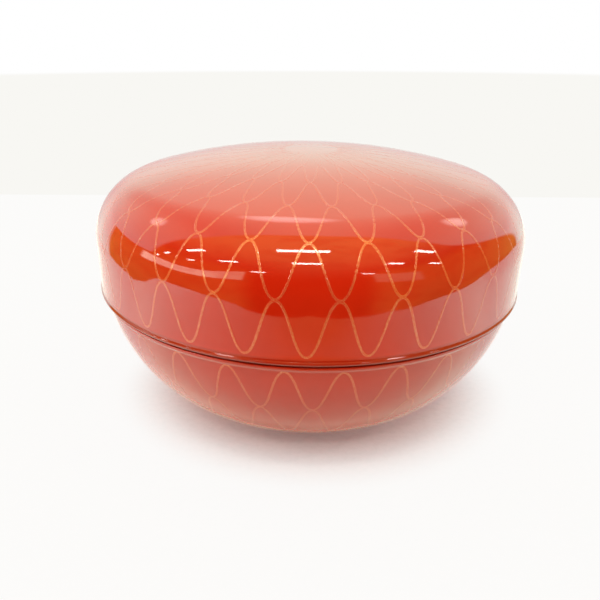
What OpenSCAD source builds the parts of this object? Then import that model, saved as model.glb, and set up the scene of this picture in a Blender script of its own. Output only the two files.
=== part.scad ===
// Lidded lacquer sweets bowl: a turned bowl on a glued foot ring, a standing ring in its mouth
// that locates a lift-off domed lid, and a net of gold lines drawn over both shells.
// Millimetres, +Z up. The origin is the centre of the foot's resting face.

/* [Lid] */
// Widest diameter of the lid, at its belly
lid_d = 230; // [215:1:245]
// Height of the crown above the lip
lid_h = 69; // [65:0.1:75]
// Height of the widest line above the lip
lid_belly_h = 26.8; // [23:0.1:29]
// Radius of the shoulder between the side and the crown
lid_shoulder_r = 31; // [28:0.5:34]
// Radius of the side below the belly
lid_side_r = 350; // [200:10:500]
// Thickness of the lid's wall
lid_wall = 4.5; // [3.6:0.1:5.4]
// Radius of the bead round the lip
lid_bead_r = 1.8; // [1.4:0.1:2.2]
// How far the bead stands out past the lip
lid_bead_proud = 1.8; // [1.4:0.1:2.6]

/* [Bowl] */
// Depth of the bowl outside, from its rim to its underside
bowl_depth = 70; // [67:0.1:75]
// How far the bowl's rim lies inside the lid's bead
rim_inset = 2.4; // [1.8:0.1:3]
// Radius of the side of the bowl
bowl_side_r = 89.5; // [87:0.5:98]
// Width of the bowl's curved side, from the flat base out to the rim
bowl_run = 72.3; // [68:0.1:76]
// How far the heel's curve stops short of the rim, if it went on round
heel_short = 4.3; // [2.5:0.1:8]
// Thickness of the bowl's wall
bowl_wall = 5; // [4.2:0.1:6]
// Radius of the bead round the bowl's rim
bowl_bead_r = 1.7; // [1.3:0.1:2.1]
// How far the bowl's bead stands out past the rim
bowl_bead_proud = 0.4; // [0.2:0.1:0.8]

/* [Mouth ring] */
// Thickness of the standing ring
ring_wall = 2.7; // [2.2:0.1:3.2]
// Height that the ring stands above the rim
ring_stand = 8; // [6:0.5:10]
// Depth that the ring is let into the bowl
ring_seat = 9; // [7:0.5:10]
// Chamfer on the ring's top edges
ring_chamfer = 0.8; // [0.4:0.1:1]
// Depth of the straight stretch inside the bowl's mouth
mouth_depth = 10.5; // [10:0.5:14]
// Gap all round between the ring and the lid
lid_clearance = 0.35; // [0.3:0.05:0.6]
// Room above the ring beside the lid's straight land
lid_headroom = 0.8; // [0.5:0.1:1.5]
// Height of the slope from that land out to the lid's wall
land_slope = 3; // [2:0.5:5]

/* [Foot] */
// Height of the foot below the base
foot_h = 6; // [4.5:0.5:9]
// Width of flat base left outside the foot
base_margin = 0.3; // [0.1:0.1:2]
// How far the foot spreads outwards down to its resting face
foot_flare = 1.5; // [0:0.1:3]
// Width of the foot
foot_w = 5; // [4:0.2:7]
// Width of the shoulders beside the foot's tongue
foot_shoulder = 0.7; // [0.4:0.1:1.2]
// Depth of the tongue in its groove
foot_tongue = 1.6; // [1:0.1:2.4]
// Chamfer on the foot's lower edges
foot_chamfer = 0.6; // [0.2:0.1:1]
// Gap for glue beside the tongue and the standing ring
glue_gap = 0.1; // [0.05:0.01:0.15]

/* [Gold net] */
// Number of waves round each row of the net
waves = 28; // [20:1:32]
// Width of a gold line
line_w = 1; // [0.8:0.1:1.4]
// How far a line stands out of the lacquer
line_proud = 0.25; // [0.2:0.05:0.4]
// How deep a line is bedded in the lacquer
line_bed = 0.45; // [0.3:0.05:0.8]
// Gap between two rows where their waves meet
line_gap = 0.1; // [0.05:0.05:0.5]
// Length up the lid from its lip to the lowest row
lid_net_start = 4; // [4:0.1:8]
// Length of the lid's lowest row
lid_first_row = 25.2; // [20:0.1:27]
// Length of each further row on the lid
lid_row = 23.5; // [20:0.1:24]
// Number of rows on the lid
lid_rows = 6; // [2:1:6]
// Turn of the lid's net
lid_net_turn = -0.9; // [-6:0.1:6]
// Length down the bowl from its rim to the uppermost row
bowl_net_start = 3.8; // [3.5:0.1:7]
// Length of each row on the bowl
bowl_row = 25.5; // [18:0.1:27]
// Number of rows on the bowl
bowl_rows = 3; // [1:1:3]
// Turn of the bowl's net
bowl_net_turn = 7.3; // [-6:0.1:12]

/* [Hidden] */
$fn = 180;
lacquer = "#c4301a";
gold = "#d8a24a";

// Height that the level lip and rim cut off the two beads
bead_cut = 0.2;
// Longest straight step along a curved profile
arc_step = 2.5;

rim_z = foot_h + bowl_depth;
lid_r = lid_d / 2;
lip_r = lid_r - lid_side_r + sqrt(pow(lid_side_r, 2) - pow(lid_belly_h, 2));
lid_bead_out_r = lip_r + lid_bead_proud;
rim_r = lid_bead_out_r - rim_inset;

// An arc is [centre radius, centre height, radius, first angle, last angle]. The lid's arcs run
// up from its lip, in heights above the lip.
shoulder_at = [lid_r - lid_shoulder_r, lid_belly_h];
crown_rise = lid_h - lid_belly_h;
dome_r = (pow(shoulder_at[0], 2) + pow(crown_rise, 2) - pow(lid_shoulder_r, 2))
    / (2 * (crown_rise - lid_shoulder_r));
dome_angle = atan2(shoulder_at[1] - lid_h + dome_r, shoulder_at[0]);
lid_arcs = [
    [lid_r - lid_side_r, lid_belly_h, lid_side_r, -asin(lid_belly_h / lid_side_r), 0],
    [shoulder_at[0], shoulder_at[1], lid_shoulder_r, 0, dome_angle],
    [0, lid_h - dome_r, dome_r, dome_angle, 90],
];

// The bowl's arcs run down from its rim, in heights below the rim. The side passes through the
// rim and meets the heel smoothly, which sets its centre.
base_r = rim_r - bowl_run;
bowl_heel_r = bowl_run - heel_short;
foot_r = base_r - base_margin;
heel_at = [base_r, bowl_heel_r - bowl_depth];
side_at = centre_between([rim_r, 0], bowl_side_r, heel_at, bowl_side_r - bowl_heel_r);
heel_angle = atan2(heel_at[1] - side_at[1], heel_at[0] - side_at[0]);
bowl_arcs = [
    [side_at[0], side_at[1], bowl_side_r, -asin(side_at[1] / bowl_side_r), heel_angle],
    [heel_at[0], heel_at[1], bowl_heel_r, heel_angle, -90],
];

// The lid's mouth takes its size from the wall at the lip, and the standing ring fits inside it.
lip_inner_r = lid_r - lid_side_r + sqrt(pow(lid_side_r - lid_wall, 2) - pow(lid_belly_h, 2));
ring_out_r = lip_inner_r - lid_clearance;
ring_in_r = ring_out_r - ring_wall;
land_h = ring_stand + lid_headroom;
land_top = land_h + land_slope;

tongue_out_r = foot_r - foot_shoulder;
tongue_in_r = foot_r - foot_w + foot_shoulder;
groove_top = foot_tongue - bowl_depth;

// Steps along one wave, as angles, closer together round its crest and its trough
wave_steps = [0, 30, 90, 150, 180, 210, 270, 330];
// The same where the wave bends over a tight curve, whose radius is under tight_r
tight_steps = [for (angle = [0 : 30 : 330]) angle];
tight_r = 50;
// Largest share of a wave's length that a line's width takes up
line_share = 0.15;

// The point at distance rp from p and rq from q, on the upper side of the line from p to q
function centre_between(p, rp, q, rq) =
    let (
        d = norm(q - p),
        along_pq = (rp * rp - rq * rq + d * d) / (2 * d),
        u = (q - p) / d
    )
    p + along_pq * u + sqrt(rp * rp - along_pq * along_pq) * [u[1], -u[0]];

function arc_length(a) = abs(a[4] - a[3]) * PI / 180 * a[2];

// Points along an arc, from its first angle to its last
function arc_points(a) =
    let (n = ceil(arc_length(a) / arc_step))
    [
        for (i = [0 : n])
            let (angle = a[3] + (a[4] - a[3]) * i / n)
            [a[0] + a[2] * cos(angle), a[1] + a[2] * sin(angle)]
    ];

// Points along a run of arcs that meet end to end
function run(arcs) =
    [
        for (i = [0 : len(arcs) - 1])
            let (points = arc_points(arcs[i]))
            for (k = [min(i, 1) : len(points) - 1])
                points[k]
    ];

function reversed(list) = [for (i = [len(list) - 1 : -1 : 0]) list[i]];

// The inner face of a wall whose outer face is a run of arcs, from height z onwards
function inner_face(arcs, wall, z) =
    [
        for (i = [0 : len(arcs) - 1])
            let (a = arcs[i], r = a[2] - wall)
            [a[0], a[1], r, i == 0 ? asin((z - a[1]) / r) : a[3], a[4]]
    ];

// Angle and centre of the profile at length s along its arcs, as [centre r, centre z, radius, angle]
function on_arcs(arcs, s, i = 0) =
    s > arc_length(arcs[i]) && i < len(arcs) - 1
        ? on_arcs(arcs, s - arc_length(arcs[i]), i + 1)
        : let (a = arcs[i])
          [a[0], a[1], a[2], a[3] + sign(a[4] - a[3]) * s / a[2] * 180 / PI];

// Point of the surface at length s along the arcs, turned to an angle, and raised by h
function skin_point(arcs, s, turn, h = 0) =
    let (
        a = on_arcs(arcs, s),
        r = a[0] + (a[2] + h) * cos(a[3])
    )
    [r * cos(turn), r * sin(turn), a[1] + (a[2] + h) * sin(a[3])];

function normal(arcs, s, turn) =
    let (angle = on_arcs(arcs, s)[3])
    [cos(angle) * cos(turn), cos(angle) * sin(turn), sin(angle)];

// Length along the arcs and angle round the axis at step i of a wavy row
function wave(row, i) =
    let (
        n = len(row[4]),
        step = row[4][i % n],
        middle = (row[0] + row[1]) / 2,
        swing = (row[1] - row[0]) / 2
    )
    [middle - swing * cos(step), row[2] + 360 / waves * (floor(i / n) + step / 360)];

// Three corners of a line's section at step i of a row: both edges, then its root
function section(arcs, row, i) =
    let (
        n = waves * len(row[4]),
        here = wave(row, i),
        before = wave(row, (i + n - 1) % n),
        after = wave(row, (i + 1) % n),
        ahead = skin_point(arcs, after[0], after[1]) - skin_point(arcs, before[0], before[1]),
        out = normal(arcs, here[0], here[1]),
        across = cross(out, ahead),
        half = across / norm(across) * row[3] / 2,
        top = skin_point(arcs, here[0], here[1], line_proud)
    )
    [top - half, top + half, skin_point(arcs, here[0], here[1], -line_bed)];

// A row is [first length, last length, turn, line width, steps]. Two rows meet edge to edge, half
// a wave apart, and a line narrows with its wave where the row comes near the axis.
function net_row(arcs, first, last, turn) =
    let (
        wave_length = 2 * PI * norm([for (k = [0, 1]) skin_point(arcs, last, 0)[k]]) / waves,
        width = min(line_w, line_share * wave_length),
        inset = (width + line_gap) / 2,
        bend_r = on_arcs(arcs, (first + last) / 2)[2]
    )
    [first + inset, last - inset, turn, width, bend_r < tight_r ? tight_steps : wave_steps];

// Number of points in the first k rows of a net
function points_before(rows, k) =
    k == 0 ? 0 : points_before(rows, k - 1) + 3 * waves * len(rows[k - 1][4]);

lid_net_rows = [
    for (k = [0 : lid_rows - 1])
        net_row(
            lid_arcs,
            lid_net_start + (k == 0 ? 0 : lid_first_row + (k - 1) * lid_row),
            lid_net_start + lid_first_row + k * lid_row,
            lid_net_turn - 90 + k * 180 / waves
        ),
];
bowl_net_rows = [
    for (k = [0 : bowl_rows - 1])
        net_row(
            bowl_arcs,
            bowl_net_start + k * bowl_row,
            bowl_net_start + (k + 1) * bowl_row,
            bowl_net_turn - 90 + k * 180 / waves
        ),
];

// Closed wavy lines lying on a surface, each a three-sided tube
module net(arcs, rows) {
    points = [
        for (row = rows)
            for (i = [0 : waves * len(row[4]) - 1])
                each section(arcs, row, i),
    ];
    faces = [
        for (k = [0 : len(rows) - 1])
            let (n = waves * len(rows[k][4]), first = points_before(rows, k))
            for (i = [0 : n - 1])
                for (c = [0 : 2])
                    let (
                        here = first + 3 * i,
                        next = first + 3 * ((i + 1) % n),
                        d = (c + 1) % 3
                    )
                    each [
                        [here + c, here + d, next + c],
                        [here + d, next + d, next + c],
                    ],
    ];
    polyhedron(points, faces, convexity = 10);
}

// Section of a half-round bead of radius r, whose flat face lies level at height 0
module bead(out_r, r, side) {
    intersection() {
        translate([out_r - r, side * (r - bead_cut)])
            circle(r);
        translate([out_r - 2 * r, side > 0 ? 0 : -2 * r])
            square(2 * r);
    }
}

module bowl() {
    axis = [
        [0, bowl_wall - bowl_depth],
        [0, -bowl_depth],
    ];
    groove = [
        [tongue_in_r - glue_gap, -bowl_depth],
        [tongue_in_r - glue_gap, groove_top],
        [tongue_out_r + glue_gap, groove_top],
        [tongue_out_r + glue_gap, -bowl_depth],
    ];
    mouth = [
        [ring_out_r + glue_gap, 0],
        [ring_out_r + glue_gap, -ring_seat],
        [ring_in_r, -ring_seat],
        [ring_in_r, -mouth_depth],
    ];
    inside = run(inner_face(bowl_arcs, bowl_wall, -mouth_depth));
    color(lacquer)
        translate([0, 0, rim_z])
            rotate_extrude() {
                polygon(concat(axis, groove, reversed(run(bowl_arcs)), mouth, inside));
                bead(rim_r + bowl_bead_proud, bowl_bead_r, -1);
            }
}

module foot_ring() {
    color(lacquer)
        rotate_extrude()
            polygon([
                [foot_r - foot_w, foot_h],
                [foot_r - foot_w + foot_flare, foot_chamfer],
                [foot_r - foot_w + foot_flare + foot_chamfer, 0],
                [foot_r + foot_flare - foot_chamfer, 0],
                [foot_r + foot_flare, foot_chamfer],
                [foot_r, foot_h],
                [tongue_out_r, foot_h],
                [tongue_out_r, foot_h + foot_tongue],
                [tongue_in_r, foot_h + foot_tongue],
                [tongue_in_r, foot_h],
            ]);
}

module mouth_ring() {
    color(lacquer)
        translate([0, 0, rim_z])
            rotate_extrude()
                polygon([
                    [ring_in_r, -ring_seat],
                    [ring_out_r, -ring_seat],
                    [ring_out_r, ring_stand - ring_chamfer],
                    [ring_out_r - ring_chamfer, ring_stand],
                    [ring_in_r + ring_chamfer, ring_stand],
                    [ring_in_r, ring_stand - ring_chamfer],
                ]);
}

module lid() {
    inside = run(inner_face(lid_arcs, lid_wall, land_top));
    land = [
        [lip_inner_r, land_h],
        [lip_inner_r, 0],
    ];
    color(lacquer)
        translate([0, 0, rim_z])
            rotate_extrude() {
                polygon(concat(run(lid_arcs), reversed(inside), land));
                bead(lid_bead_out_r, lid_bead_r, 1);
            }
}

module bowl_net() {
    color(gold)
        translate([0, 0, rim_z])
            net(bowl_arcs, bowl_net_rows);
}

module lid_net() {
    color(gold)
        translate([0, 0, rim_z])
            net(lid_arcs, lid_net_rows);
}

bowl();
foot_ring();
mouth_ring();
lid();
bowl_net();
lid_net();
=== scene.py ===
"""Lidded lacquer sweets bowl: the turned shells and their gold net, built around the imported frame."""

import math

import bpy
from mathutils import Matrix, Vector, noise


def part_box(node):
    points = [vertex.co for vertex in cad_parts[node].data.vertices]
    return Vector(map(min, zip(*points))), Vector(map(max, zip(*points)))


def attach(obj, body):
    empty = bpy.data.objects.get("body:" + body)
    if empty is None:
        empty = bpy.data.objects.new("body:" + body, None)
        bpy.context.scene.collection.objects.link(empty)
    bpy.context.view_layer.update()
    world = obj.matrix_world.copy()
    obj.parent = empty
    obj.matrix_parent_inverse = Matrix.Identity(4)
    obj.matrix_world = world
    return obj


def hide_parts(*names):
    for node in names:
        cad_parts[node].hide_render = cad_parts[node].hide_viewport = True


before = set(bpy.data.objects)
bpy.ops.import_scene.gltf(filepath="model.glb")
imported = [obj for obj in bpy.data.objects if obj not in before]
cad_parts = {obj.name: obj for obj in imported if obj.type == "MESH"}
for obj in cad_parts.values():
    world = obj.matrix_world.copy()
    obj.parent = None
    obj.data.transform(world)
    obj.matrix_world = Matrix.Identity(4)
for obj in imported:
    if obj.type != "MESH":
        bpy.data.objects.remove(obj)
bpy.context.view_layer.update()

MM = 0.001
black = (0, 0, 0, 1)

# Sizes taken from the frame: lip_z and floor_z lie in the frame, and other heights are counted from the lip
lid_low, lid_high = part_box("lid")
bowl_low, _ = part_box("bowl")
ring_low, ring_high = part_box("mouth_ring")
foot_low, foot_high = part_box("foot_ring")
lip_z = lid_low.z
lid_h = lid_high.z - lip_z
bead_out_r = lid_high.x
bowl_depth = lip_z - bowl_low.z
ring_out_r = ring_high.x
ring_top = ring_high.z - lip_z
ring_foot = ring_low.z - lip_z
foot_out_r = foot_high.x
foot_top = foot_high.z - lip_z
floor_z = foot_low.z

# Sizes of the lid's section
belly_h = 26.8 * MM
shoulder_r = 31 * MM
lid_side_r = 1200 * MM
lid_wall = 4.5 * MM
lid_clearance = 0.35 * MM
lip_margin = 0.02 * MM
lip_bead_r = 0.9 * MM
lip_slope_r = 5 * MM
lip_cove_r = 0.5 * MM
lip_flare_r = 32 * MM
bead_turn = math.radians(30.5)
bead_end = math.radians(-100)
slope_turn = math.radians(38)
flare_turn = math.radians(5)
bead_gap = 0.05 * MM
seat_w = 2 * MM
seat_step = 0.3 * MM
seat_edge = 0.1 * MM
land_h = 8.8 * MM
land_top = 11.8 * MM
land_edge = 0.35 * MM
land_blend = 0.8 * MM

# Sizes of the bowl's section
rim_inset = 2.4 * MM
bowl_side_r = 89.5 * MM
heel_r = 68 * MM
bowl_run = 72.3 * MM
bowl_wall = 5 * MM
band_proud = 0.4 * MM
band_drop = 1.35 * MM
band_h = 2.8 * MM
band_foot = 4.2 * MM
band_run_in = 5 * MM
band_blend = 0.6 * MM
band_low_edge = 0.3 * MM
band_high_edge = 0.25 * MM
groove_drop = 3.6 * MM
groove_edge = 0.3 * MM
rim_land = 1.6 * MM
rim_edge = 0.2 * MM
rebate_edge = 0.3 * MM
mouth_depth = 10.5 * MM
mouth_edge = 0.1 * MM
glue_gap = 0.1 * MM

# Sizes of the two rings
ring_wall = 2.7 * MM
ring_edge = 0.8 * MM
foot_flare = 1.5 * MM
foot_w = 5 * MM
foot_edge = 0.8 * MM
foot_shoulder = 0.7 * MM
base_margin = 0.3 * MM

# Sizes of the gold net: lines, bounds of the rows in mm along the outer faces, and turns in degrees
waves = 28
line_w = 1.15 * MM
line_share_of_wave = 0.19
line_overlap = 0.3
line_proud = 0.024 * MM
crest_round = 0.14
lid_rows = [3.9, 29.2, 52.7, 76.2, 99.7, 123.2, 146.7]
bowl_rows = [4.3, 29.3, 54.8, 80.3]
lid_net_turn = -0.9
bowl_net_turn = 7.3
front_turn = -90

# Section of a gold line: across in half widths, and up in line heights
line_section = [
    (-1, -0.9), (-0.9, 0.55), (-0.55, 0.93), (0, 1), (0.55, 0.93), (0.9, 0.55), (1, -0.9), (0, -4),
]

# Waver of the brush along the face, round the axis and in width: amount, fineness and seed
along_waver = (0.22 * MM, 5, 0)
round_waver = (0.0016, 4, 3)
width_waver = (0.16, 9, 5)
row_seed = 7.3

# How fine the meshes are, how near points are made one, and from what angle an edge stays sharp
turns = 288
outer_step = 1.1 * MM
inner_step = 3 * MM
small_step = 0.16 * MM
flare_step = 2 * small_step
wave_samples = 32
grid_side = 1
same_place = 0.0001 * MM
shell_merge = 0.003 * MM
line_merge = 0.002 * MM
sharp_edge = math.radians(40)


def way(angle):
    """Unit step at an angle in the section."""
    return Vector((math.cos(angle), math.sin(angle)))


def heading(centre, point):
    """Angle of a point seen from a centre."""
    return math.atan2(point[1] - centre[1], point[0] - centre[0])


class Arc:
    """Part of a circle in the section of a turned piece, drawn from one angle to another."""

    def __init__(self, centre, radius, first, last, step, out=1):
        self.centre = Vector(centre)
        self.radius = radius
        self.first = first
        self.last = last
        self.out = out
        self.length = abs(last - first) * radius
        self.steps = max(2, math.ceil(self.length / step))

    def at(self, angle):
        return self.centre + self.radius * way(angle)

    def reverse(self, step):
        return Arc(self.centre, self.radius, self.last, self.first, step)


class Face:
    """The outer face of a turned shell as arcs that meet end to end, the first at a given length."""

    def __init__(self, arcs, start=0.0):
        self.arcs = arcs
        self.start = start

    def angle_at(self, length):
        length -= self.start
        for arc in self.arcs:
            if length <= arc.length or arc is self.arcs[-1]:
                turn = math.copysign(length / arc.radius, arc.last - arc.first)
                return arc, arc.first + turn
            length -= arc.length

    def point(self, length, turn):
        arc, angle = self.angle_at(length)
        r, z = arc.at(angle)
        return Vector((r * math.cos(turn), r * math.sin(turn), lip_z + z))

    def normal(self, length, turn):
        arc, angle = self.angle_at(length)
        side = math.cos(angle)
        return arc.out * Vector((side * math.cos(turn), side * math.sin(turn), math.sin(angle)))


def touching_centre(p, p_reach, q, q_reach):
    """The point at one distance from p and another from q, on the right of the way from p to q."""
    p, q = Vector(p), Vector(q)
    span = (q - p).length
    along = (p_reach ** 2 - q_reach ** 2 + span ** 2) / (2 * span)
    u = (q - p) / span
    return p + along * u + math.sqrt(p_reach ** 2 - along ** 2) * Vector((u.y, -u.x))


def soften(corners):
    """Section moves from corners (r, z, radius): each corner with a radius becomes a small arc."""
    moves = []
    for i, (r, z, radius) in enumerate(corners):
        here = Vector((r, z))
        if not radius:
            moves.append(here)
            continue
        before = (Vector(corners[i - 1][:2]) - here).normalized()
        after = (Vector(corners[(i + 1) % len(corners)][:2]) - here).normalized()
        half = before.angle(after) / 2
        centre = here + (before + after).normalized() * (radius / math.sin(half))
        start = heading(centre, here + before * (radius / math.tan(half)))
        turn = heading(centre, here + after * (radius / math.tan(half))) - start
        turn = (turn + math.pi) % (2 * math.pi) - math.pi
        moves.append(Arc(centre, radius, start, start + turn, small_step))
    return moves


def start_piece(name):
    """Names the active object, a primitive just added or rows just joined."""
    piece = bpy.context.object
    piece.name = name
    piece.data.name = name
    return piece


def turned_piece(name, moves):
    """Draws a section beside the axis, point by point and arc by arc, and spins it round the axis."""
    bpy.ops.object.select_all(action="DESELECT")
    bpy.ops.mesh.primitive_plane_add(size=MM)
    piece = start_piece(name)
    bpy.ops.object.mode_set(mode="EDIT")
    bpy.ops.mesh.merge(type="CENTER")
    pen = None
    for move in moves:
        goal = move.at(move.first) if isinstance(move, Arc) else Vector(move)
        if pen is None:
            bpy.ops.transform.translate(value=(goal.x, 0, lip_z + goal.y))
        elif (goal - pen).length > same_place:
            shift = {"value": (goal.x - pen.x, 0, goal.y - pen.y)}
            bpy.ops.mesh.extrude_vertices_move(TRANSFORM_OT_translate=shift)
        pen = goal
        if isinstance(move, Arc):
            centre = (move.centre.x, 0, lip_z + move.centre.y)
            bpy.ops.mesh.spin(steps=move.steps, angle=move.last - move.first, center=centre, axis=(0, 1, 0))
            pen = move.at(move.last)
    bpy.ops.mesh.select_all(action="SELECT")
    bpy.ops.mesh.spin(steps=turns, angle=2 * math.pi, center=(0, 0, 0), axis=(0, 0, 1))
    bpy.ops.mesh.select_all(action="SELECT")
    bpy.ops.mesh.remove_doubles(threshold=shell_merge)
    bpy.ops.mesh.normals_make_consistent(inside=False)
    bpy.ops.object.mode_set(mode="OBJECT")
    bpy.ops.object.shade_smooth_by_angle(angle=sharp_edge)
    return piece


# The lid's outer face, up from its lip, in lengths from where its side would reach the lip's level
bead_centre = Vector((bead_out_r - lip_margin - lip_bead_r, bead_gap + lip_bead_r))
slope_centre = bead_centre - (lip_slope_r - lip_bead_r) * way(bead_turn)
cove_centre = slope_centre + (lip_slope_r + lip_cove_r) * way(slope_turn)
flare_centre = cove_centre + (lip_flare_r - lip_cove_r) * way(flare_turn)
side_back = math.sqrt((lid_side_r + lip_flare_r) ** 2 - (belly_h - flare_centre.y) ** 2)
side_centre = Vector((flare_centre.x - side_back, belly_h))
lid_r = side_centre.x + lid_side_r
shoulder_centre = Vector((lid_r - shoulder_r, belly_h))
crown_rise = lid_h - belly_h
dome_r = (shoulder_centre.x ** 2 + crown_rise ** 2 - shoulder_r ** 2) / (2 * (crown_rise - shoulder_r))
dome_centre = Vector((0, lid_h - dome_r))
dome_angle = heading(dome_centre, shoulder_centre)
lip_angle = -math.asin(belly_h / lid_side_r)
side_meet = heading(side_centre, flare_centre)
slope_meet = slope_turn + math.pi
flare_meet = flare_turn + math.pi
lip_cove = Arc(cove_centre, lip_cove_r, slope_meet, flare_meet, small_step, out=-1)
lip_flare = Arc(flare_centre, lip_flare_r, flare_meet, side_meet + math.pi, flare_step, out=-1)
lid_face = Face(
    [
        lip_cove,
        lip_flare,
        Arc(side_centre, lid_side_r, side_meet, 0, outer_step),
        Arc(shoulder_centre, shoulder_r, 0, dome_angle, outer_step),
        Arc(dome_centre, dome_r, dome_angle, math.pi / 2, outer_step),
    ],
    start=lid_side_r * (side_meet - lip_angle) - lip_flare.length - lip_cove.length,
)

# The bowl's outer face, down from its rim
rim_r = bead_out_r - rim_inset
base_r = rim_r - bowl_run
heel_centre = Vector((base_r, heel_r - bowl_depth))
bowl_centre = touching_centre((rim_r, 0), bowl_side_r, heel_centre, bowl_side_r - heel_r)
heel_angle = heading(bowl_centre, heel_centre)
bowl_face = Face([
    Arc(bowl_centre, bowl_side_r, heading(bowl_centre, (rim_r, 0)), heel_angle, outer_step),
    Arc(heel_centre, heel_r, heel_angle, -math.pi / 2, outer_step),
])


def lid_piece():
    """The lid: domed wall flaring into a thin rounded lip, level seat and straight land inside."""
    cove, flare, side, shoulder, dome = lid_face.arcs
    inner_r = lid_side_r - lid_wall
    lip_inner_r = ring_out_r + lid_clearance
    seat_out_r = lip_inner_r + seat_w
    inner_first = math.asin((land_top - belly_h) / inner_r)
    bead_arc = Arc(bead_centre, lip_bead_r, bead_turn, bead_end, small_step)
    inner_side = Arc(side_centre, inner_r, inner_first, 0, inner_step)
    under = soften([
        (*bead_arc.at(bead_arc.last), 0),
        (seat_out_r, seat_step, seat_edge),
        (seat_out_r, 0, seat_edge),
        (lip_inner_r, 0, land_edge),
        (lip_inner_r, land_h, land_blend),
        (*inner_side.at(inner_first), 0),
    ])
    return turned_piece("lid_shell", [
        dome.reverse(outer_step),
        shoulder.reverse(outer_step),
        side.reverse(outer_step),
        flare.reverse(flare_step),
        cove.reverse(small_step),
        Arc(slope_centre, lip_slope_r, slope_turn, bead_turn, small_step),
        bead_arc,
        *under[1:-1],
        inner_side,
        Arc(shoulder_centre, shoulder_r - lid_wall, 0, dome_angle, inner_step),
        Arc(dome_centre, dome_r - lid_wall, dome_angle, math.pi / 2, inner_step),
    ])


def bowl_piece():
    """The bowl: curved wall, low band under the rim, straight mouth with a rebate, groove for the foot."""
    heel = bowl_face.arcs[-1]
    band_r = rim_r + band_proud
    rebate_r = ring_out_r + glue_gap
    groove_r = rebate_r + rim_land
    ring_in_r = ring_out_r - ring_wall
    inner_r = bowl_side_r - bowl_wall
    inner_first = math.asin((-mouth_depth - bowl_centre.y) / inner_r)
    inner_side = Arc(bowl_centre, inner_r, inner_first, heel_angle, inner_step)
    tongue_out = base_r - base_margin - foot_shoulder + glue_gap
    tongue_in = base_r - base_margin - foot_w + foot_shoulder - glue_gap
    run_in = math.asin((-band_run_in - bowl_centre.y) / bowl_side_r)
    meet = math.asin((-band_foot - bowl_centre.y) / bowl_side_r)
    wall = Arc(bowl_centre, bowl_side_r, heel_angle, run_in, outer_step)
    rim = soften([
        (*wall.at(run_in), 0),
        (*wall.at(meet), band_blend),
        (band_r, -band_h, band_low_edge),
        (band_r, -band_drop, band_high_edge),
        (groove_r, -groove_drop, groove_edge),
        (groove_r, 0, rim_edge),
        (rebate_r, 0, rebate_edge),
        (rebate_r, ring_foot, 0),
        (ring_in_r, ring_foot, 0),
        (ring_in_r, -mouth_depth, mouth_edge),
        (*inner_side.at(inner_first), 0),
    ])
    return turned_piece("bowl_shell", [
        (0, -bowl_depth),
        (tongue_in, -bowl_depth),
        (tongue_in, foot_top),
        (tongue_out, foot_top),
        (tongue_out, -bowl_depth),
        heel.reverse(outer_step),
        wall,
        *rim[1:-1],
        inner_side,
        Arc(heel_centre, heel_r - bowl_wall, heel_angle, -math.pi / 2, inner_step),
        (0, bowl_wall - bowl_depth),
    ])


def mouth_ring_piece():
    """The standing ring that locates the lid, with rounded upper edges."""
    ring_in_r = ring_out_r - ring_wall
    moves = soften([
        (ring_in_r, ring_foot, 0),
        (ring_out_r, ring_foot, 0),
        (ring_out_r, ring_top, ring_edge),
        (ring_in_r, ring_top, ring_edge),
    ])
    return turned_piece("mouth_ring_turned", [*moves, moves[0]])


def foot_piece():
    """The foot ring with its tongue, spreading a little towards the table."""
    foot_r = foot_out_r - foot_flare
    seat = -bowl_depth
    stand = floor_z - lip_z
    moves = soften([
        (foot_r - foot_w, seat, 0),
        (foot_r - foot_w + foot_flare, stand, foot_edge),
        (foot_out_r, stand, foot_edge),
        (foot_r, seat, 0),
        (foot_r - foot_shoulder, seat, 0),
        (foot_r - foot_shoulder, foot_top, 0),
        (foot_r - foot_w + foot_shoulder, foot_top, 0),
        (foot_r - foot_w + foot_shoulder, seat, 0),
    ])
    return turned_piece("foot_ring_turned", [*moves, moves[0]])


def hand(turn, row, waver):
    """A slow waver of the brush, the same again after a full turn."""
    amount, fineness, seed = waver
    spot = Vector((math.cos(turn) * fineness, math.sin(turn) * fineness, row * row_seed + seed))
    return amount * noise.noise(spot)


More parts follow.
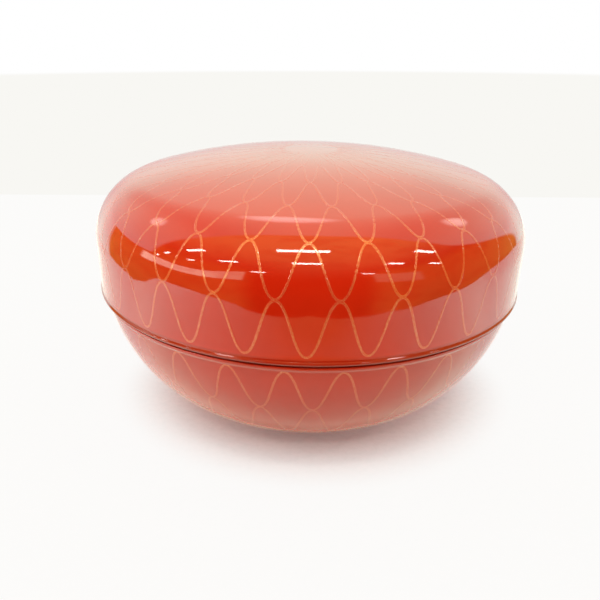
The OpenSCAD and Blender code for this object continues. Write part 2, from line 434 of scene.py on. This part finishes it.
def gold_row(name, face, row, first, last, shift):
    """One closed wave line lying on a face, as a grid wrapped into a low tube."""
    radius = face.point(last, 0).xy.length
    width = min(line_w, line_share_of_wave * 2 * math.pi * radius / waves)
    overlap = line_overlap * width
    low = first + width / 2 - overlap
    high = last - width / 2 + overlap
    count = waves * wave_samples
    round_count = len(line_section)
    bpy.ops.object.select_all(action="DESELECT")
    bpy.ops.mesh.primitive_grid_add(x_subdivisions=count, y_subdivisions=round_count, size=grid_side)
    piece = start_piece(name)

    def track(i):
        part = i / wave_samples
        turn = math.radians(shift) + 2 * math.pi / waves * part
        swing = math.cos(2 * math.pi * part)
        swing += crest_round * (swing - swing ** 3)
        length = (low + high) / 2 - (high - low) / 2 * swing
        return length + hand(turn, row, along_waver), turn + hand(turn, row, round_waver)

    frames = []
    for i in range(count):
        length, turn = track(i)
        ahead = face.point(*track(i + 1)) - face.point(*track(i - 1))
        out = face.normal(length, turn)
        across = out.cross(ahead).normalized()
        wide = width / 2 * (1 + hand(turn, row, width_waver))
        frames.append((face.point(length, turn), across * wide, out * line_proud))
    for vertex in piece.data.vertices:
        i = round((vertex.co.x + grid_side / 2) * count) % count
        j = round((vertex.co.y + grid_side / 2) * round_count) % round_count
        spot, across, up = frames[i]
        vertex.co = spot + across * line_section[j][0] + up * line_section[j][1]
    bpy.ops.object.mode_set(mode="EDIT")
    bpy.ops.mesh.select_all(action="SELECT")
    bpy.ops.mesh.remove_doubles(threshold=line_merge)
    bpy.ops.mesh.normals_make_consistent(inside=False)
    bpy.ops.object.mode_set(mode="OBJECT")
    bpy.ops.object.shade_smooth()
    return piece


def gold_net(name, face, bounds_mm, shift):
    """All the rows of one net, each half a wave on from the last, joined into one piece."""
    rows = []
    for row, (first, last) in enumerate(zip(bounds_mm, bounds_mm[1:])):
        turn = shift + front_turn + row * 180 / waves
        rows.append(gold_row(f"{name}_{row}", face, row, first * MM, last * MM, turn))
    bpy.ops.object.select_all(action="DESELECT")
    for piece in rows:
        piece.select_set(True)
    bpy.context.view_layer.objects.active = rows[0]
    bpy.ops.object.join()
    return start_piece(name)


class Value:
    """An output socket whose arithmetic adds Math nodes."""

    def __init__(self, finish, socket):
        self.finish = finish
        self.socket = socket

    def math(self, operation, first, second):
        return self.finish.node("ShaderNodeMath", {"operation": operation}, {0: first, 1: second})

    def __add__(self, other):
        return self.math("ADD", self, other)

    def __sub__(self, other):
        return self.math("SUBTRACT", self, other)

    def __rsub__(self, other):
        return self.math("SUBTRACT", other, self)

    def __mul__(self, other):
        return self.math("MULTIPLY", self, other)

    def __truediv__(self, other):
        return self.math("DIVIDE", self, other)

    def __abs__(self):
        return self.math("ABSOLUTE", self, 0.0)

    __radd__ = __add__
    __rmul__ = __mul__


class Finish:
    """A node tree being filled."""

    def __init__(self, tree):
        self.tree = tree
        tree.nodes.clear()

    def node(self, kind, settings=None, sockets=None, out=0):
        """Adds a node with its settings, values and links, and returns the outputs asked for."""
        made = self.tree.nodes.new(kind)
        for key, value in (settings or {}).items():
            if key == "stops":
                ramp = made.color_ramp.elements
                while len(ramp) < len(value):
                    ramp.new(1)
                for stop, (place, colour) in zip(ramp, value):
                    stop.position = place
                    stop.color = colour
            else:
                setattr(made, key, value)
        for key, value in (sockets or {}).items():
            if isinstance(value, Value):
                self.tree.links.new(value.socket, made.inputs[key])
            else:
                made.inputs[key].default_value = value
        if isinstance(out, tuple):
            return [Value(self, made.outputs[name]) for name in out]
        return Value(self, made.outputs[out]) if made.outputs else None

    def mix(self, factor, first, second):
        return self.node(
            "ShaderNodeMix",
            {"data_type": "RGBA"},
            {"Factor": factor, 6: first, 7: second},
            out=2,
        )

    def vector(self, operation, first, second=(0, 0, 0), out="Vector"):
        return self.node("ShaderNodeVectorMath", {"operation": operation}, {0: first, 1: second}, out=out)

    def smooth(self, value, low, high, to_low=0.0, to_high=1.0):
        return self.node(
            "ShaderNodeMapRange",
            {"interpolation_type": "SMOOTHSTEP"},
            {0: value, 1: low, 2: high, 3: to_low, 4: to_high},
        )

    def fade(self, value, low, high):
        return self.smooth(value, low, high, to_low=1.0, to_high=0.0)

    def grain(self, where, scale, detail, rough):
        return self.node(
            "ShaderNodeTexNoise",
            {},
            {"Vector": where, "Scale": scale, "Detail": detail, "Roughness": rough},
        )


def new_material(name):
    """An empty material and its node tree."""
    material = bpy.data.materials.new(name)
    material.use_nodes = True
    return material, Finish(material.node_tree)


# Colours of the lacquer
lacquer_dark, lacquer_light = (0.76, 0.0145, 0.0018, 1), (0.82, 0.0185, 0.0024, 1)
fleck_colour = (0.62, 0.011, 0.002, 1)
worn_colour = (0.40, 0.045, 0.020, 1)
# Painted shade colour, for the groove under the lid and for the lip
painted_shade_colour = (0.42, 0.012, 0.003, 1)
lacquer_ior = 1.55
gloss_least, gloss_most = 0.03, 0.055

# Worn foot: heights between which the wear ends, how far that wavers, and what the wear does
worn_heights = (0.5 * MM, 1.2 * MM)
worn_waver = 0.6 * MM
worn_share = 0.7
worn_dull = 0.4

# Painted shade in the groove under the lid, which is also left duller: its middle below the lip, half its
# height, and its edges from the ring and the rim
seam_shade_drop = 2 * MM
seam_shade_half = (1.6 * MM, 1.9 * MM)
seam_shade_from_ring = (0.2 * MM, 0.4 * MM)
seam_shade_from_rim = (-0.8 * MM, -0.1 * MM)
seam_shade_share = 0.7
seam_dull = 0.35

# Painted shade on the lip: its middle above the lip's level, half its height, and its inner edge from the
# rim
lip_shade_rise = 0.9 * MM
lip_shade_half = (0.9 * MM, 3 * MM)
lip_shade_from_rim = (0.7 * MM, 1.1 * MM)
lip_shade_share = 0.78

# Waver of the polished surface
polish_waver = 0.03 * MM
fine_waver_share = 0.12


def vermilion_lacquer():
    """Polished vermilion lacquer: faint clouds, a slightly wavy gloss, a worn foot, painted shade in a
    duller groove under the lid and on the lip.
    """
    material, f = new_material("vermilion_lacquer")
    where = f.node("ShaderNodeTexCoord", out="Object")
    height = f.node("ShaderNodeSeparateXYZ", {}, {0: where}, out="Z")
    radius = f.vector("LENGTH", f.vector("MULTIPLY", where, (1, 1, 0)), out="Value")
    cloud = f.grain(where, scale=28, detail=3, rough=0.55)
    fleck = f.grain(where, scale=900, detail=2, rough=0.6)
    worn_edge = height + worn_waver * f.grain(where, scale=300, detail=2, rough=0.5)
    worn = f.fade(worn_edge, *worn_heights)
    # Painted shade in the groove under the lid; the same mask also makes it duller
    dull_shaded_groove = f.fade(abs(height - lip_z + seam_shade_drop), *seam_shade_half)
    dull_shaded_groove = dull_shaded_groove * f.smooth(radius - ring_out_r, *seam_shade_from_ring)
    dull_shaded_groove = dull_shaded_groove * f.fade(radius - rim_r, *seam_shade_from_rim)
    # Painted shade on the lid's lip
    lip = f.fade(abs(height - lip_z - lip_shade_rise), *lip_shade_half)
    lip = lip * f.smooth(radius - rim_r, *lip_shade_from_rim)
    body = f.mix(f.smooth(cloud, low=0.3, high=0.7), lacquer_dark, lacquer_light)
    body = f.mix(f.smooth(fleck, low=0.62, high=0.8, to_high=0.25), body, fleck_colour)
    body = f.mix(worn_share * worn, body, worn_colour)
    # Painted shade darkens the groove under the lid and the lip
    body = f.mix(seam_shade_share * dull_shaded_groove + lip_shade_share * lip, body, painted_shade_colour)
    polish = f.grain(where, scale=55, detail=4, rough=0.6)
    gloss = f.smooth(polish, low=0.35, high=0.75, to_low=gloss_least, to_high=gloss_most)
    gloss = gloss + worn_dull * worn + seam_dull * dull_shaded_groove
    broad_waver = f.grain(where, scale=34, detail=1, rough=0.4)
    fine_waver = f.grain(where, scale=140, detail=1, rough=0.4)
    waver = broad_waver + fine_waver * fine_waver_share
    bump = f.node("ShaderNodeBump", {}, {"Strength": 1.0, "Distance": polish_waver, "Height": waver})
    shader = f.node(
        "ShaderNodeBsdfPrincipled",
        {},
        {"Base Color": body, "Roughness": gloss, "IOR": lacquer_ior, "Normal": bump},
    )
    f.node("ShaderNodeOutputMaterial", {}, {"Surface": shader})
    return material


# Colours of the gold lines, and the heights at which they grow faint towards the top
gold_dark, gold_light = (0.85, 0.039, 0.010, 1), (0.90, 0.062, 0.017, 1)
thin_colour = (0.83, 0.032, 0.008, 1)
faint_colour = (0.79, 0.017, 0.002, 1)
flake_colour = (1.0, 0.80, 0.42, 1)
gold_gloss = 0.06
flake_dull = 0.3
flake_share = 0.48
faint_low, faint_high = 127 * MM, 143 * MM
faint_share = 0.72


def gold_line():
    """Gold powder bound in lacquer: satin flakes under the gloss, the red showing through between them."""
    material, f = new_material("gold_line")
    where = f.node("ShaderNodeTexCoord", out="Object")
    powder = f.grain(where, scale=3200, detail=2, rough=0.7)
    thin = f.grain(where, scale=120, detail=3, rough=0.6)
    height = f.node("ShaderNodeSeparateXYZ", {}, {0: where}, out="Z")
    faint = f.smooth(height, faint_low, faint_high, to_high=faint_share)
    body = f.mix(f.smooth(powder, low=0.3, high=0.7), gold_dark, gold_light)
    body = f.mix(f.smooth(thin, low=0.5, high=0.8, to_high=0.6), body, thin_colour)
    body = f.mix(faint, body, faint_colour)
    bed = f.node(
        "ShaderNodeBsdfPrincipled",
        {},
        {"Base Color": body, "Roughness": gold_gloss, "IOR": lacquer_ior},
    )
    flake = f.node(
        "ShaderNodeBsdfPrincipled",
        {},
        {
            "Base Color": flake_colour,
            "Metallic": 1.0,
            "Roughness": flake_dull,
            "Specular Tint": black,
            "Coat Weight": 1.0,
            "Coat Roughness": gold_gloss,
        },
    )
    face_on = 1 - f.node("ShaderNodeLayerWeight", {}, {"Blend": 0.5}, out="Facing")
    share = f.smooth(powder, low=0.35, high=0.75, to_high=flake_share)
    share = share * face_on * face_on * (1 - faint)
    shader = f.node("ShaderNodeMixShader", {}, {0: share, 1: bed, 2: flake})
    f.node("ShaderNodeOutputMaterial", {}, {"Surface": shader})
    return material


def dress(piece, body, node, material):
    """Gives a piece its finish and its place in the frame."""
    piece.data.materials.clear()
    piece.data.materials.append(material)
    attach(piece, body)
    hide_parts(node)


lacquer = vermilion_lacquer()
gold = gold_line()
dress(lid_piece(), "lid", "lid", lacquer)
dress(bowl_piece(), "bowl", "bowl", lacquer)
dress(mouth_ring_piece(), "bowl", "mouth_ring", lacquer)
dress(foot_piece(), "bowl", "foot_ring", lacquer)
lid_net = gold_net("lid_gold_net", lid_face, lid_rows, lid_net_turn)
dress(lid_net, "lid", "lid_net", gold)
bowl_net = gold_net("bowl_gold_net", bowl_face, bowl_rows, bowl_net_turn)
dress(bowl_net, "bowl", "bowl_net", gold)


# Camera at the photograph's place
image_side = 600
focal_px = 608.6
sensor = 36
nearest_seen = 0.01
camera_at = Vector((-4.785, -333.05, 200.34)) * MM
pitch = math.radians(23.447)
roll = math.radians(0.997)


def set_camera():
    """Puts the camera in its place, looking along +Y and down, with a slight roll."""
    ahead = Vector((0, math.cos(pitch), -math.sin(pitch)))
    level = Vector((1, 0, 0))
    above = level.cross(ahead)
    right = math.cos(roll) * level + math.sin(roll) * above
    above = right.cross(ahead)
    turn = Matrix((right, above, -ahead)).transposed()
    data = bpy.data.cameras.new("camera")
    data.sensor_width = sensor
    data.lens = sensor * focal_px / image_side
    data.clip_start = nearest_seen
    camera = bpy.data.objects.new("camera", data)
    camera.matrix_world = Matrix.Translation(camera_at) @ turn.to_4x4()
    bpy.context.scene.collection.objects.link(camera)
    bpy.context.scene.camera = camera


# White sheet under the bowl, by its outline from the front right round to the front left
sheet_outline = [
    (0.000, -0.325), (0.100, -0.305), (0.176, -0.278), (0.251, -0.225), (0.337, -0.162), (0.423, -0.119),
    (0.560, -0.074), (0.792, 0.026), (0.995, 0.208), (1.057, 0.538), (-0.460, 0.463), (-0.455, 0.156),
    (-0.335, -0.030), (-0.339, -0.086), (-0.491, -0.155), (-0.485, -0.209), (-0.366, -0.272),
    (-0.143, -0.297),
]
sheet_drop = 0.05 * MM

# Floor round the sheet, with its far edge
floor_reach = 4.0
floor_drop = 0.15 * MM
back_y, back_slope = 0.486, 0.049

# Tones of the sheet for the camera, and for the light that it throws back
sheet_light, sheet_dark = (1.00, 0.98, 0.92, 1), (0.92, 0.90, 0.84, 1)
sheet_glow = (0.98, 0.975, 0.965, 1)
sheet_grey = (0.5, 0.5, 0.5, 1)

# How bright the sheet shows in the gloss, by distance from a spot under the camera
dim_spot = (0.015, -0.34, 0)
dim_reach, bright_reach = 0.06, 0.38
dim_tint, bright_tint = (0.72, 0.66, 0.24, 1), (2.05, 2.58, 2.28, 1)

# How bright it shows under the bowl, and towards the back near the bowl and far from it
under_tint = (1.75, 1.85, 1.66, 1)
under_reach = (0.035, 0.085)
near_tint, far_tint = (1.40, 1.55, 1.48, 1), (1.62, 1.85, 1.70, 1)
far_reach = (0.14, 0.26)
rear_y = (-0.075, 0.0)

# Middle of the shade round the bowl, on a floor squeezed across, its reach and its share of plain white
shade_squeeze = (0.92, 1.06, 1)
shade_at = (0.004, 0.004, 0)
shade_reach, white_reach = 0.066, 0.114
shade_white, open_white = 0.10, 0.95


def pale_floor():
    """White sheet: plain to the camera with a shade round the bowl, and in the gloss in its own painted
    light and shade.
    """
    material, f = new_material("pale_floor")
    where = f.node("ShaderNodeTexCoord", out="Object")
    camera, glossy = f.node("ShaderNodeLightPath", out=("Is Camera Ray", "Is Glossy Ray"))
    speck = f.smooth(f.grain(where, scale=260, detail=3, rough=0.6), low=0.35, high=0.75)
    tone = f.mix(speck, sheet_light, sheet_dark)
    # Painted light and shade on the sheet as the gloss sees it: dim near a spot under the camera, brighter
    # further off, with own tones under the bowl and behind it
    reach = f.vector("DISTANCE", where, dim_spot, out="Value")
    level = f.node("ShaderNodeMapRange", {}, {0: reach, 1: dim_reach, 2: bright_reach, 3: 0, 4: 1})
    mirrored = f.mix(level, dim_tint, bright_tint)
    squeezed = f.vector("MULTIPLY", where, shade_squeeze)
    apart = f.vector("DISTANCE", squeezed, shade_at, out="Value")
    mirrored = f.mix(f.smooth(apart, *under_reach), under_tint, mirrored)
    back = f.node("ShaderNodeSeparateXYZ", {}, {0: where}, out="Y")
    rear = f.mix(f.smooth(apart, *far_reach), near_tint, far_tint)
    mirrored = f.mix(f.smooth(back, *rear_y), mirrored, rear)
    colour = f.mix(glossy, f.mix(camera, sheet_grey, tone), mirrored)
    paper = f.node("ShaderNodeBsdfDiffuse", {}, {"Color": colour})
    glow = f.node("ShaderNodeEmission", {}, {"Color": sheet_glow})
    white = f.smooth(apart, shade_reach, white_reach, to_low=shade_white, to_high=open_white)
    shader = f.node("ShaderNodeMixShader", {}, {0: white * camera, 1: paper, 2: glow})
    f.node("ShaderNodeOutputMaterial", {}, {"Surface": shader})
    return material


def floor_piece(name, outline, drop, material):
    """A flat piece of floor from its outline, a little under the foot."""
    mesh = bpy.data.meshes.new(name)
    mesh.from_pydata([(x, y, floor_z - drop) for x, y in outline], [], [range(len(outline))])
    mesh.materials.append(material)
    piece = bpy.data.objects.new(name, mesh)
    bpy.context.scene.collection.objects.link(piece)
    return piece


def set_floor():
    """Lays the sheet, and under it a floor that the gloss does not show."""
    pale = pale_floor()
    floor_piece("sheet", sheet_outline, sheet_drop, pale)
    far_left, far_right = [(x, back_y + back_slope * x) for x in (-floor_reach, floor_reach)]
    around = [(-floor_reach, -floor_reach), (floor_reach, -floor_reach), far_right, far_left]
    floor_piece("floor", around, floor_drop, pale).visible_glossy = False


# Ceiling of strip lights: y of each row, length of its strips and their x, places in ceiling heights
ceiling_h = 1.6
strip_width = 0.125
strip_watts_per_m = 9.5
strip_colour = (1, 0.96, 0.92)
strip_rows = [
    (-0.52, 0.62, (-3.65, -2.45, -1.23, -0.05)),
    (-0.41, 0.60, (1.11,)),
    (-1.03, 0.50, (-2.0, -1.02, -0.03)),
    (-0.97, 0.44, (1.045,)),
    (-0.93, 0.80, (2.09,)),
    (-1.80, 0.46, (-0.89,)),
    (-1.76, 0.40, (0.985,)),
]


def set_lights():
    """Hangs the strip lights, which the camera itself does not see."""
    for y, length, places in strip_rows:
        for x in places:
            data = bpy.data.lights.new("strip", "AREA")
            data.shape = "RECTANGLE"
            data.size = length
            data.size_y = strip_width
            data.energy = strip_watts_per_m * length
            data.color = strip_colour
            light = bpy.data.objects.new("strip", data)
            light.location = (x * ceiling_h, y * ceiling_h, ceiling_h)
            light.visible_camera = False
            bpy.context.scene.collection.objects.link(light)


# Tones of the tent and the room in the gloss, by the sine of their elevation
tone_scale = 3.2
tent_tones = [
    (0.00, (0.27, 0.30, 0.29, 1)),
    (0.19, (0.33, 0.52, 0.46, 1)),
    (0.31, (0.36, 0.64, 0.54, 1)),
    (0.71, (0.46, 0.65, 0.46, 1)),
    (1.00, (0.53, 0.70, 0.46, 1)),
]
room_tones = [
    (0.00, (0.035, 0.035, 0.006, 1)),
    (0.26, (0.035, 0.035, 0.008, 1)),
    (0.33, (0.05, 0.05, 0.012, 1)),
    (0.52, (0.15, 0.12, 0.04, 1)),
    (0.68, (0.36, 0.29, 0.09, 1)),
    (0.82, (0.52, 0.42, 0.12, 1)),
    (0.94, (0.62, 0.50, 0.14, 1)),
]
side_wall_tone = (0.42, 0.62, 0.56, 1)
side_tone = (0.31, 0.215, 0.040, 1)
left_panel_tone, panel_tone = (1.6, 1.55, 1.15, 1), (0.90, 0.90, 0.58, 1)
right_panel_tone = (0.46, 0.46, 0.24, 1)
lamp_tone = (1.4, 1.5, 1.3, 1)

# Tones that light the bowl, and those of the wall behind it for the camera
white_tone = (0.32, 0.32, 0.315, 1)
roof_tone = (0.218, 0.218, 0.216, 1)
left_ceiling_tone, right_ceiling_tone = (0.195, 0.195, 0.188, 1), (0.165, 0.165, 0.159, 1)
dim_tone = (0.03, 0.03, 0.03, 1)
wall_low_tone, wall_high_tone = (0.939, 0.930, 0.896, 1), (1, 1, 1, 1)
wall_line_tilt = 0.0155

# Soft lamps seen through the tent's roof: place in ceiling heights, and half size
roof_lamps = [
    ((-0.08, 0.72), (0.25, 0.24)),
    ((-1.18, 0.57), (0.26, 0.17)),
    ((0.96, 0.68), (0.26, 0.19)),
]

# Places in the tent and the room, as parts of a direction
tent_middle_x = -0.06
tent_fold_x = -0.38
left_panel_z = 0.135
left_panel_rise = 0.16
left_panel_spread = 0.045
right_panel_z = 0.31
right_panel_fall = 0.36
right_panel_start = 0.54
right_panel_middle = 0.68


def tent_share(f, x, y, z):
    """Share of the tent: its front edge stands further back low down, and on the right higher up too."""
    right = f.smooth(x, low=-0.15, high=0.15)
    left_edge = f.smooth(z, low=0.15, high=0.25, to_low=0.52, to_high=-0.05)
    right_edge = f.smooth(z, low=-0.05, high=0.65, to_low=0.62, to_high=-0.05)
    top_edge = f.smooth(z, low=0.8, high=1.0, to_high=0.07)
    edge = left_edge + (right_edge - left_edge) * right + top_edge
    return f.smooth(y - edge, low=-0.03, high=0.03)


def tent_in_gloss(f, x, z):
    """The tent in the gloss: dimmer beside its middle and in one fold, with pale low side walls."""
    tent = f.node("ShaderNodeValToRGB", {"stops": tent_tones}, {0: z})
    dim = f.smooth(abs(x - tent_middle_x), low=0.15, high=0.55, to_high=0.3)
    dim = dim + f.smooth(abs(x - tent_fold_x), low=0.05, high=0.3, to_low=0.16, to_high=0)
    dim = dim * f.smooth(abs(x), low=0.5, high=0.8, to_low=1, to_high=0.35)
    dim = dim * f.smooth(z, low=0.15, high=0.4)
    tent = f.mix(dim, tent, black)
    side_wall = f.smooth(abs(x), low=0.45, high=0.7) * f.fade(z, low=0.08, high=0.25)
    return f.mix(side_wall, tent, side_wall_tone)


def room_in_gloss(f, z, side):
    """The room in the gloss, without its left panel: brighter upwards, warm sides, a faint right panel."""
    room = f.node("ShaderNodeValToRGB", {"stops": room_tones}, {0: z})
    warm = f.smooth(abs(side), low=0.42, high=0.64) * f.fade(z, low=0.35, high=0.55)
    room = f.mix(warm, room, side_tone)
    leaning = z - right_panel_z + right_panel_fall * (side - right_panel_start)
    panel = f.fade(abs(leaning), low=0.08, high=0.12)
    panel = panel * f.fade(abs(side - right_panel_middle), low=0.13, high=0.17)
    return f.mix(panel, room, right_panel_tone)


def set_world():
    """White tent behind and overhead, a dim warm room in front, and a plain pale wall for the camera."""
    world = bpy.data.worlds.new("studio")
    bpy.context.scene.world = world
    world.use_nodes = True
    f = Finish(world.node_tree)
    towards = f.node("ShaderNodeTexCoord", out="Generated")
    x, y, z = f.node("ShaderNodeSeparateXYZ", {}, {0: towards}, out=("X", "Y", "Z"))
    camera, glossy = f.node("ShaderNodeLightPath", out=("Is Camera Ray", "Is Glossy Ray"))
    behind = tent_share(f, x, y, z)
    level = f.vector("NORMALIZE", f.node("ShaderNodeCombineXYZ", {}, {"X": x, "Y": y}))
    side = f.node("ShaderNodeSeparateXYZ", {}, {0: level}, out="X")

    # The left panel climbs and widens towards the front
    climb = f.smooth(side, low=-0.95, high=-0.5)
    off_panel = abs(z - left_panel_z - left_panel_rise * climb) - left_panel_spread * climb
    left_panel = f.fade(off_panel, low=0.05, high=0.075)
    left_panel = left_panel * f.fade(side, low=-0.56, high=-0.53) * f.fade(y, low=0.0, high=0.06)

    # What the gloss shows
    room = f.mix(left_panel, room_in_gloss(f, z, side), f.mix(climb, left_panel_tone, panel_tone))
    uneven = f.smooth(f.grain(towards, scale=5, detail=3, rough=0.55), low=0.45, high=0.62, to_high=0.22)
    mirrored = f.mix(behind, f.mix(uneven, room, black), tent_in_gloss(f, x, z))
    lamps = 0
    for (at_x, at_y), (half_x, half_y) in roof_lamps:
        across = (x / z - at_x) / half_x
        along = (y / z - at_y) / half_y
        lamps = lamps + f.fade(across * across + along * along, low=0, high=1)
    mirrored = f.mix(lamps * f.smooth(z, low=0.1, high=0.2), mirrored, lamp_tone)

    # What lights the bowl
    roof = f.smooth(z, low=0.2, high=0.9)
    ceiling = f.mix(f.smooth(x, low=-0.6, high=0.6), left_ceiling_tone, right_ceiling_tone)
    front = f.mix(left_panel, f.mix(roof, dim_tone, ceiling), panel_tone)
    plain = f.mix(behind, front, f.mix(roof, white_tone, roof_tone))
    colour = f.mix(glossy, plain, mirrored)
    light = f.node("ShaderNodeBackground", {}, {"Color": colour, "Strength": tone_scale})

    # What the camera sees
    wall = f.mix(f.smooth(z - wall_line_tilt * x, low=-0.052, high=-0.047), wall_low_tone, wall_high_tone)
    seen = f.node("ShaderNodeBackground", {}, {"Color": wall})
    shown = f.node("ShaderNodeMixShader", {}, {0: camera, 1: light, 2: seen})
    f.node("ShaderNodeOutputWorld", {}, {"Surface": shown})


set_camera()
set_floor()
set_lights()
set_world()
bpy.context.scene.view_settings.view_transform = "Standard"
